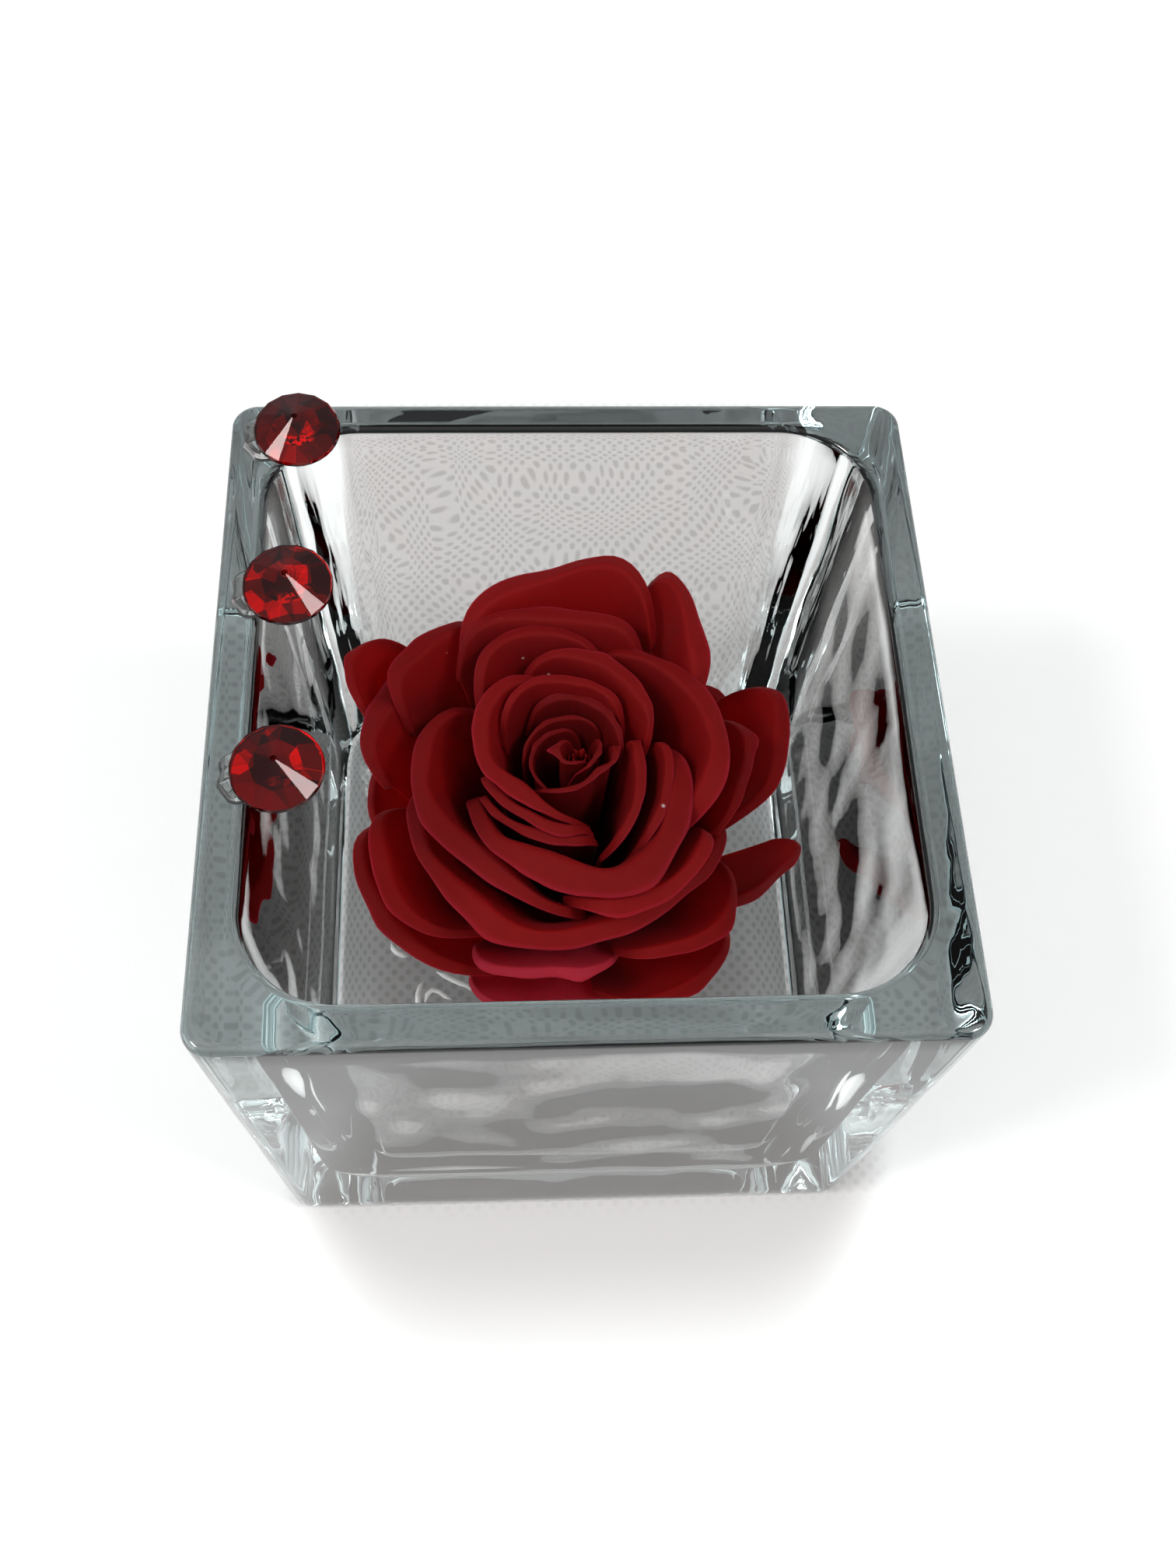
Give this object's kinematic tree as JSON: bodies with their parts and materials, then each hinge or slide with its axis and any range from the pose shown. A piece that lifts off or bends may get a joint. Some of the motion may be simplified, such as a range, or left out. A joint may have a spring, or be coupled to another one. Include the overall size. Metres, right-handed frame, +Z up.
{
  "type": "preserved rose in a glass cube",
  "caption": "Preserved red rose bloom glued to the floor of an open clear pressed-glass cube, with faceted red stones on one side of the rim.",
  "frame": {"origin": "middle of the base, on the surface that the cube stands on", "axes": "+Z up through the open top, -Y towards the front, where the lowest petals are, +X to the right, away from the stones"},
  "size_m": [0.08, 0.08, 0.0842],
  "materials": {
    "clear_glass": "clear pressed glass, fire polished, faintly green at the edges",
    "petal": "soft velvety preserved petal",
    "rose_hip": "matte, dried",
    "clear_glue": "clear hot-melt glue, glossy",
    "red_stone": "faceted, foil backed, mirror-bright"
  },
  "bodies": {
    "root": {"glass_cube": "clear_glass", "glue_bead": "clear_glue", "rose_hip": "rose_hip", "heart_bud": "petal", "petal_01": "petal", "petal_02": "petal", "petal_03": "petal", "petal_04": "petal", "petal_05": "petal", "petal_06": "petal", "petal_07": "petal", "petal_08": "petal", "petal_09": "petal", "petal_10": "petal", "petal_11": "petal", "petal_12": "petal", "petal_13": "petal", "petal_14": "petal", "petal_15": "petal", "petal_16": "petal", "petal_17": "petal", "petal_18": "petal", "petal_19": "petal", "petal_20": "petal", "petal_21": "petal", "petal_22": "petal", "petal_23": "petal", "petal_24": "petal", "petal_25": "petal", "petal_26": "petal", "petal_27": "petal", "petal_28": "petal", "petal_29": "petal", "petal_30": "petal", "petal_31": "petal", "petal_32": "petal", "petal_33": "petal", "petal_34": "petal", "petal_35": "petal", "petal_36": "petal", "petal_37": "petal", "stone_glue_1": "clear_glue", "red_stone_1": "red_stone", "stone_glue_2": "clear_glue", "red_stone_2": "red_stone", "stone_glue_3": "clear_glue", "red_stone_3": "red_stone"}
  },
  "joints": []
}
